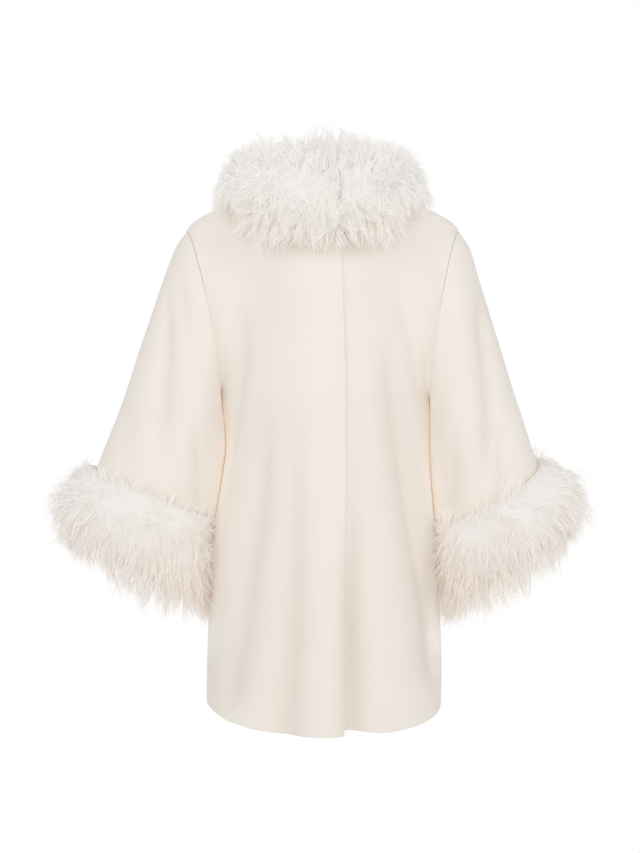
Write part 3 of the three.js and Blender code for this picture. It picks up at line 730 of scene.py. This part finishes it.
def growHair(name, root, control, tip, settings, seed):
    # root, control and tip are the guide of each lock; its hairs gather towards the tip
    rng = np.random.default_rng(seed)
    locks, hairs = len(root), settings["hairs"]
    places = np.array(hairShape["places"])
    line = unit(tip - root)
    sideways = unit(np.cross(line, rng.normal(size=(locks, 3))))
    other = np.cross(line, sideways)
    ring = np.sqrt(rng.uniform(0, 1, (locks, hairs)))
    turn = rng.uniform(0, 2 * math.pi, (locks, hairs))
    offset = (sideways[:, None] * (ring * np.cos(turn))[..., None]
              + other[:, None] * (ring * np.sin(turn))[..., None])
    stray = rng.uniform(0, 1, (locks, hairs)) < settings["strays"]
    lengths = rng.uniform(*hairShape["length"], (locks, hairs)) * np.where(stray, hairShape["strayLength"], 1)
    tipSpread = settings["tipSpread"] * rng.uniform(*hairShape["lockTip"], (locks, 1))
    tipSpread = tipSpread * np.where(stray, hairShape["strayTip"], 1)
    curl = settings["curl"] * rng.uniform(*hairShape["lockCurl"], (locks, 1))
    curl = curl * rng.uniform(*hairShape["hairCurl"], (locks, hairs))
    turns = settings["turns"] * rng.uniform(*hairShape["lockTurns"], (locks, 1))
    phase = rng.uniform(0, 2 * math.pi, (locks, 1)) + rng.normal(0, hairShape["phase"], (locks, hairs))
    rings = []
    for place in places:
        t = (place * lengths)[..., None]
        guide = ((1 - t) ** 2 * root[:, None] + 2 * t * (1 - t) * control[:, None] + t**2 * tip[:, None])
        spread = mixed(settings["rootSpread"], tipSpread, place ** hairShape["gather"])[..., None]
        wave = curl * place
        angle = 2 * math.pi * turns * place * lengths + phase
        rings.append(guide + offset * spread + sideways[:, None] * (wave * np.cos(angle))[..., None]
                     + other[:, None] * (wave * np.sin(angle))[..., None])
    path = np.stack(rings, axis=2).reshape(-1, len(places), 3)
    count = len(path)
    along = unit(np.gradient(path, axis=1))
    across = unit(np.cross(along, rng.normal(size=(count, 1, 3))))
    upright = np.cross(along, across)
    thick = np.interp(places, [0, 0.5, 1], [hairShape["root"], hairShape["middle"], hairShape["tip"]])
    thick = thick * rng.uniform(*hairShape["thick"], (count, 1))
    corners = []
    for k in range(3):
        angle = 2 * math.pi * k / 3
        corners.append(path[:, :-1] + (across[:, :-1] * math.cos(angle) + upright[:, :-1] * math.sin(angle))
                       * thick[:, :-1, None])
    tube = np.stack(corners, axis=2).reshape(count, -1, 3)
    points = np.concatenate([tube, path[:, -1:]], axis=1)
    faces = [(0, 2, 1)]
    last = 3 * (len(places) - 1)
    for level in range(len(places) - 2):
        for k in range(3):
            a, b = 3 * level + k, 3 * level + (k + 1) % 3
            faces += [(a, b, b + 3), (a, b + 3, a + 3)]
    for k in range(3):
        faces.append((last - 3 + k, last - 3 + (k + 1) % 3, last))
    faces = np.array(faces)
    allFaces = (faces[None] + (np.arange(count) * (last + 1))[:, None, None]).reshape(-1, 3)
    piece = newMesh(name, points, allFaces.tolist())
    alongHair = np.concatenate([np.repeat(places[:-1], 3), [1.0]])
    tone = np.repeat(rng.uniform(0, 1, count), last + 1)
    values = np.stack([np.tile(alongHair, count), tone], axis=-1)
    layer = piece.data.uv_layers.new(name="hair")
    layer.uv.foreach_set("vector", values[allFaces.reshape(-1)].astype(np.float32).reshape(-1))
    return piece


def ringSolid(name, sections, closedRound):
    # skin over sections that stand round an opening
    count = sections.shape[1]
    index = np.arange(sections.shape[0] * count).reshape(-1, count)
    following = np.roll(index, -1, axis=0)
    if not closedRound:
        index, following = index[:-1], following[:-1]
    faces = np.stack([index, following, np.roll(following, -1, axis=1), np.roll(index, -1, axis=1)], axis=-1)
    faces = faces.reshape(-1, 4).tolist()
    if not closedRound:
        total = sections.shape[0] * count
        faces += [list(range(count)), list(range(total - 1, total - count - 1, -1))]
    piece = newMesh(name, sections, faces)
    piece.data.shade_smooth()
    selectOnly(piece)
    bpy.ops.object.mode_set(mode="EDIT")
    bpy.ops.mesh.select_all(action="SELECT")
    bpy.ops.mesh.normals_make_consistent(inside=False)
    bpy.ops.object.mode_set(mode="OBJECT")
    return piece


# each fur's lower hair gets a painted shade colour between two heights, and core darkens its core: painted
# shade
furs = {
    "collarFur": {"root": (0.980, 0.964, 0.943, 1), "tip": (0.993, 0.984, 0.971, 1),
                  "paintedShadeBelow": (0.982, 0.958, 0.928, 1), "paintedShadeFrom": 0.015, "paintedShadeTo": -0.090, "core": 0.99},
    "cuffFur": {"root": (0.967, 0.941, 0.914, 1), "tip": (0.975, 0.953, 0.929, 1),
                "paintedShadeBelow": (0.968, 0.936, 0.903, 1), "paintedShadeFrom": -0.44, "paintedShadeTo": -0.60, "core": 0.985},
}
# a hair's tone runs from root to tip, and differs a little from hair to hair
hairLook = {"surface": {"Roughness": 0.75, "Specular IOR Level": 0.2}, "along": 0.8, "each": 0.2}
underFur = {"surface": {"Roughness": 0.85, "Specular IOR Level": 0.2}, "curlNoise": (210.0, 5.0, 0.65),
            "bump": {"Strength": 0.8, "Distance": 0.004}}


def furMaterial(name):
    material, shader, start = newMaterial(name, hairLook["surface"])
    place = start.make("ShaderNodeUVMap", {"uv_map": "hair"})
    split = start.make("ShaderNodeSeparateXYZ", {}, {0: place})
    tone = Maths(start.tree, split.socket.node.outputs[1])
    share = split * hairLook["along"] + tone * hairLook["each"]
    colour = mixColours(start, share, furs[name]["root"], furs[name]["tip"])
    # painted shade: lower down, the hair's colour turns warmer and a little darker, standing in for the shade
    # under the fur
    spot = start.make("ShaderNodeTexCoord", output=3)
    height = Maths(start.tree, start.make("ShaderNodeSeparateXYZ", {}, {0: spot}).socket.node.outputs[2])
    high, low = furs[name]["paintedShadeFrom"], furs[name]["paintedShadeTo"]
    colour = mixColours(start, (high - height) / (high - low), colour, furs[name]["paintedShadeBelow"])
    start.tree.links.new(colour.socket, shader.inputs["Base Color"])
    return material


def underMaterial(name, fur):
    material, shader, start = newMaterial(name, underFur["surface"])
    place = start.make("ShaderNodeTexCoord", output=3)
    curls = noiseAt(start, place, *underFur["curlNoise"])
    # the core's colours are darkened by core: painted shade under the hair
    ends = [tuple(c * furs[fur]["core"] for c in furs[fur][end][:3]) + (1,) for end in ("root", "tip")]
    colour = mixColours(start, curls, *ends)
    bump = start.make("ShaderNodeBump", {}, {**underFur["bump"], "Height": curls})
    start.tree.links.new(colour.socket, shader.inputs["Base Color"])
    start.tree.links.new(bump.socket, shader.inputs["Normal"])
    return material


collarLook, cuffLook = furMaterial("collarFur"), furMaterial("cuffFur")
underCollar, underCuff = underMaterial("underCollar", "collarFur"), underMaterial("underCuff", "cuffFur")


def finishFur(piece, node, material):
    piece.data.materials.append(material)
    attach(piece, "root")
    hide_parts(node)
    print(piece.name, len(piece.data.polygons), "faces")


# Fur collar

collar = {
    "closing": 11.5, "halfGap": 0.4, "locks": 700, "roots": 0.56, "farthest": 0.130, "nearest": 0.03,
    "crest": 0.45, "crestIn": 0.008, "fromFront": -98.0, "fromSide": -72.0, "to": 205.0, "crowd": 1.12,
    "lean": 0.010, "leanSize": 0.085, "jitter": 0.0045, "tipLean": 1.6, "length": (0.92, 1.07),
    "droop": 0.026, "rise": 0.13, "corner": 0.08, "fall": 0.36, "fallAt": -70, "fallWidth": 20,
    "lobes": 0.58, "lobeAt": 60, "lobeWidth": 23, "bendAt": 0.62, "bendLean": 0.25, "bendUp": 0.004,
    "core": {"size": 0.70, "endGap": 0.05, "rings": 73, "tiltStep": 12, "lump": 0.09, "lumpSize": 0.05},
    "hair": {"hairs": 12, "rootSpread": 0.0090, "tipSpread": 0.0048, "strays": 0.14, "curl": 0.0036,
             "turns": 0.85},
}
collarReach = asRows(
    "angle outer middle",
    (0, 0.152, -0.008),
    (45, 0.166, 0.010),
    (90, 0.172, 0.024),
    (135, 0.158, 0.028),
    (180, 0.142, 0.032),
)


def solidTree(node):
    data = frame["nodes"][node].data
    corners = [tuple(v.co) for v in data.vertices]
    return BVHTree.FromPolygons(corners, [tuple(p.vertices) for p in data.polygons])


collarTree = solidTree("collar_fur")


def awayFromFront(angle):
    return np.abs((angle + 180) % 360 - 180)


def collarReachAt(angle, tilt):
    # middle of the fur's section at an angle round the neck, and its reach in a direction of the section
    fromFront = awayFromFront(angle)
    turn = np.radians(angle)
    deep = np.where(np.cos(turn) > 0, neck["front"], neck["back"])
    rim = 1 / np.hypot(np.sin(turn) / neck["halfWidth"], np.cos(turn) / deep)
    outer = readTable(collarReach, "angle", "outer", fromFront)
    middle = readTable(collarReach, "angle", "middle", fromFront)
    crest = mixed(rim - collar["crestIn"], outer, collar["crest"])
    flat = joinAxes(np.sin(turn), -np.cos(turn), np.zeros_like(turn))
    centre = flat * crest[:, None]
    centre[:, 2] = middle
    slope = np.radians(tilt)
    way = flat * np.cos(slope)[:, None]
    way[:, 2] = np.sin(slope)
    # the solid is measured no nearer to the closing than its own two ends
    fromClosing = (angle - collar["closing"]) % 360
    shift = np.radians(np.clip(fromClosing, 2 * collar["halfGap"], 360 - 2 * collar["halfGap"]) - fromClosing)
    reach = np.empty(len(angle))
    for k in range(len(angle)):
        turned = Matrix.Rotation(shift[k], 3, "Z")
        hit = collarTree.ray_cast(turned @ Vector(centre[k]), turned @ Vector(way[k]))
        reach[k] = min(hit[3], collar["farthest"]) if hit[0] is not None else collar["nearest"]
    return centre, way, reach


def collarCore():
    core = collar["core"]
    first = collar["closing"] + core["endGap"]
    angles = np.linspace(first, first + 360 - 2 * core["endGap"], core["rings"])
    tilts = np.arange(0, 360, core["tiltStep"])
    angle, tilt = (grid.ravel() for grid in np.meshgrid(angles, tilts, indexing="ij"))
    centre, way, reach = collarReachAt(angle, tilt)
    lump = 1 + core["lump"] * softField(centre + way * reach[:, None], core["lumpSize"], 5)[:, 0]
    points = centre + way * (reach * core["size"] * lump)[:, None]
    return ringSolid("collar_core", points.reshape(len(angles), len(tilts), 3), False)


def collarHair(name, start, stop, seed):
    rng = np.random.default_rng(seed)
    count = collar["locks"]
    angle = np.linspace(start, stop, count, endpoint=False)
    angle = angle + rng.uniform(0, (stop - start) / count, count)
    low = mixed(collar["fromSide"], collar["fromFront"], np.clip(np.cos(np.radians(angle)), 0, 1))
    tilt = mixed(low, collar["to"], evenSpread(count) ** collar["crowd"])
    centre, way, reach = collarReachAt(angle, tilt)
    root = centre + way * (reach * collar["roots"])[:, None]
    lean = softField(root, collar["leanSize"], 3) * collar["lean"]
    lean = lean + rng.normal(0, collar["jitter"], (count, 3))
    lean -= way * np.sum(lean * way, axis=-1, keepdims=True)
    upward = np.clip(way[:, 2], 0, 1) ** 2
    # the hair under the collar is longer, most of all in two lobes beside the front
    lobes = np.exp(-(((awayFromFront(angle) - collar["lobeAt"]) / collar["lobeWidth"]) ** 2))
    fall = collar["fall"] + collar["lobes"] * lobes
    fall = fall * np.exp(-(((tilt - collar["fallAt"]) / collar["fallWidth"]) ** 2))
    corner = collar["corner"] * np.clip(2 * way[:, 2] * np.sqrt(1 - way[:, 2] ** 2), 0, 1)
    length = reach * rng.uniform(*collar["length"], count) * (1 + collar["rise"] * upward - corner + fall)
    tip = centre + way * length[:, None] + lean * collar["tipLean"]
    tip[:, 2] -= collar["droop"] * np.clip(1 - way[:, 2], 0, 1) * np.clip(way[:, 2] + 1, 0, 1)
    bend = mixed(reach * collar["roots"], length, collar["bendAt"])
    control = centre + way * bend[:, None] + lean * collar["bendLean"]
    control[:, 2] += collar["bendUp"]
    piece = growHair(name, root, control, tip, collar["hair"], seed + 1)
    finishFur(piece, "collar_fur", collarLook)


finishFur(collarCore(), "collar_fur", underCollar)
middleTurn = collar["closing"] + 180
collarHair("collar_hair_left", collar["closing"], middleTurn, 21)
collarHair("collar_hair_right", middleTurn, collar["closing"] + 360, 22)


# Fur cuffs

# how far the hair stands out and hangs down, at angles from the sleeve's outer edge over its front
cuffs = {
    "right": {"fluffEnd": 0.07, "seed": 41, "reach": asRows(
        "angle proud length",
        (0, 0.070, 0.130), (60, 0.054, 0.146), (110, 0.042, 0.160), (180, 0.003, 0.156),
        (250, 0.042, 0.148), (300, 0.054, 0.140), (360, 0.070, 0.130))},
    "left": {"fluffEnd": 0.02, "seed": 51, "reach": asRows(
        "angle proud length",
        (0, 0.080, 0.128), (60, 0.058, 0.142), (110, 0.042, 0.150), (180, 0.003, 0.160),
        (250, 0.042, 0.148), (300, 0.058, 0.142), (360, 0.080, 0.128))},
}
cuff = {
    "locks": 700, "roots": 0.52, "bandStart": 0.015, "bandEnd": 0.78, "along": 0.45, "plumb": 0.55,
    "sag": 0.4, "gather": 12, "crowd": 0.30, "clear": 0.005, "rootClear": 0.6, "fluff": 0.13,
    "droop": 0.16, "length": (0.86, 1.03), "trim": 0.06, "trimFrom": 0.7,
    "lean": 0.008, "leanSize": 0.075, "jitter": 0.004, "leanFrom": 0.035, "tipLean": 1.4,
    "besideAt": 22, "besideWidth": 26, "besideFrom": (-0.3, 0.5), "over": 0.026, "forward": 0.023,
    "bendOut": 0.75, "bendDown": 0.30, "bendLean": 0.3,
    "profile": {"down": [-0.12, 0.08, 0.30, 0.54, 0.78, 0.95, 1.12],
                "out": [0.22, 0.58, 0.91, 1.00, 0.91, 0.62, 0.14]},
    "hair": {"hairs": 12, "rootSpread": 0.0085, "tipSpread": 0.0050, "strays": 0.10, "curl": 0.0036,
             "turns": 0.9},
}
# the outline of the core as shares of the hair's reach and of its length; None is inside the band
cuffUnder = {
    "size": 0.68, "thinnest": 0.0012, "inside": -0.0035, "turnStep": 5.0, "lump": 0.10, "lumpSize": 0.045,
    "lumpLength": 0.15,
    "outline": [(None, 0.002), (0.30, -0.02), (0.72, 0.07), (1.0, 0.26), (1.04, 0.44), (0.90, 0.60),
                (0.56, 0.72), (0.2, 0.77), (None, 0.70), (None, 0.35)],
}


def cuffFrame(side, angle):
    # the sleeve's edge, the way out of it and the way the hair hangs, at angles round the sleeve's end
    hole = armholes[side]
    end = sleeveRings[side][-1]
    front = angle % 360 <= 180
    share = np.where(front, angle % 360, 360 - angle % 360) / 180
    face = np.where(front, -1, 1)
    one = np.ones_like(share)
    edge = np.where(front[:, None], ringPoint(side, one, share, -1), ringPoint(side, one, share, 1))
    edge[:, 0] += hole["side"] * cape["armholeGap"]
    alongOut = np.array([hole["side"] * (end["outerX"] - end["innerX"]), 0, end["outerZ"] - end["innerZ"]])
    halfLong = np.linalg.norm(alongOut) / 2
    alongOut /= 2 * halfLong
    axis = np.array([-alongOut[2], 0, alongOut[0]])
    axis = -axis if axis[2] > 0 else axis
    hang = unit(axis * cuff["along"] + np.array([0, 0, -cuff["plumb"]]))
    turn = np.radians(angle)
    out = alongOut * (np.cos(turn) / halfLong)[:, None]
    out[:, 1] = face * np.abs(np.sin(turn)) / end["depth"]
    out = unit(out)
    out[:, 2] *= cuff["sag"]
    reach, at = cuffs[side]["reach"], angle % 360
    proud, length = readTable(reach, "angle", "proud", at), readTable(reach, "angle", "length", at)
    return edge, out, hang, proud, length


def cuffCore(side):
    under = cuffUnder
    angles = np.arange(0, 360, under["turnStep"])
    edge, out, hang, proud, length = cuffFrame(side, angles)
    sections = []
    for share, down in under["outline"]:
        if share is None:
            reach = np.full_like(proud, under["inside"])
        else:
            place = edge + hang * down * under["lumpLength"]
            reach = np.maximum(proud * share * under["size"], under["thinnest"])
            reach = reach * (1 + under["lump"] * softField(place, under["lumpSize"], 7)[:, 0])
        sections.append(edge + out * reach[:, None] + hang * (length * down)[:, None])
    return ringSolid(f"cuff_core_{side}", np.stack(sections, axis=1), True)


def cuffHair(side):
    seed = cuffs[side]["seed"]
    rng = np.random.default_rng(seed)
    count = cuff["locks"]
    angle = np.linspace(0, 360, count, endpoint=False) + rng.uniform(0, 360 / count, count)
    angle += cuff["gather"] * np.sin(np.radians(angle))
    down = evenSpread(count)
    down = mixed(down, (1 - np.cos(math.pi * down)) / 2, cuff["crowd"])
    edge, out, hang, proud, length = cuffFrame(side, angle)
    profile = cuff["profile"]
    rootDown = mixed(cuff["bandStart"], cuff["bandEnd"], down)
    rootOut = proud * cuff["roots"] * np.interp(rootDown, profile["down"], profile["out"])
    # the hair keeps clear of the band, also where it is short beside the body
    clear = cuff["clear"] * np.abs(np.sin(np.radians(angle)))
    rootOut = np.maximum(rootOut, clear * cuff["rootClear"])
    fluff = cuffs[side]["fluffEnd"] + cuff["fluff"] * np.abs(np.sin(np.radians(angle)))
    tipDown = mixed(-fluff, profile["down"][-1], down) + cuff["droop"] * np.sin(math.pi * down)
    tipOut = np.maximum(proud * np.interp(tipDown, profile["down"], profile["out"]), clear)
    stretch = rng.uniform(*cuff["length"], count) - cuff["trim"] * smoothStep(down, cuff["trimFrom"], 1.0)
    root = edge + out * rootOut[:, None] + hang * (rootDown * length)[:, None]
    tip = (edge + out * mixed(rootOut, tipOut, stretch)[:, None]
           + hang * (mixed(rootDown, tipDown, stretch) * length)[:, None])
    lean = softField(root, cuff["leanSize"], 9) * cuff["lean"] + rng.normal(0, cuff["jitter"], (count, 3))
    lean *= smoothStep(proud, 0.0, cuff["leanFrom"])[:, None]
    tip = tip + lean * cuff["tipLean"]
    # the hair beside the body hangs along it, and a little over its front and back
    beside = np.exp(-(((np.abs(angle - 180) - cuff["besideAt"]) / cuff["besideWidth"]) ** 2))
    beside = beside * smoothStep(tipDown, *cuff["besideFrom"])
    tip[:, 0] -= armholes[side]["side"] * cuff["over"] * beside
    tip[:, 1] += out[:, 1] * cuff["forward"] * beside
    control = (edge + out * mixed(rootOut, tipOut, cuff["bendOut"])[:, None]
               + hang * (mixed(rootDown, tipDown, cuff["bendDown"]) * length)[:, None]
               + lean * cuff["bendLean"])
    piece = growHair(f"cuff_hair_{side}", root, control, tip, cuff["hair"], seed + 1)
    finishFur(piece, f"cuff_fur_{side}", cuffLook)


for side in ("right", "left"):
    finishFur(cuffCore(side), f"cuff_fur_{side}", underCuff)
    cuffHair(side)
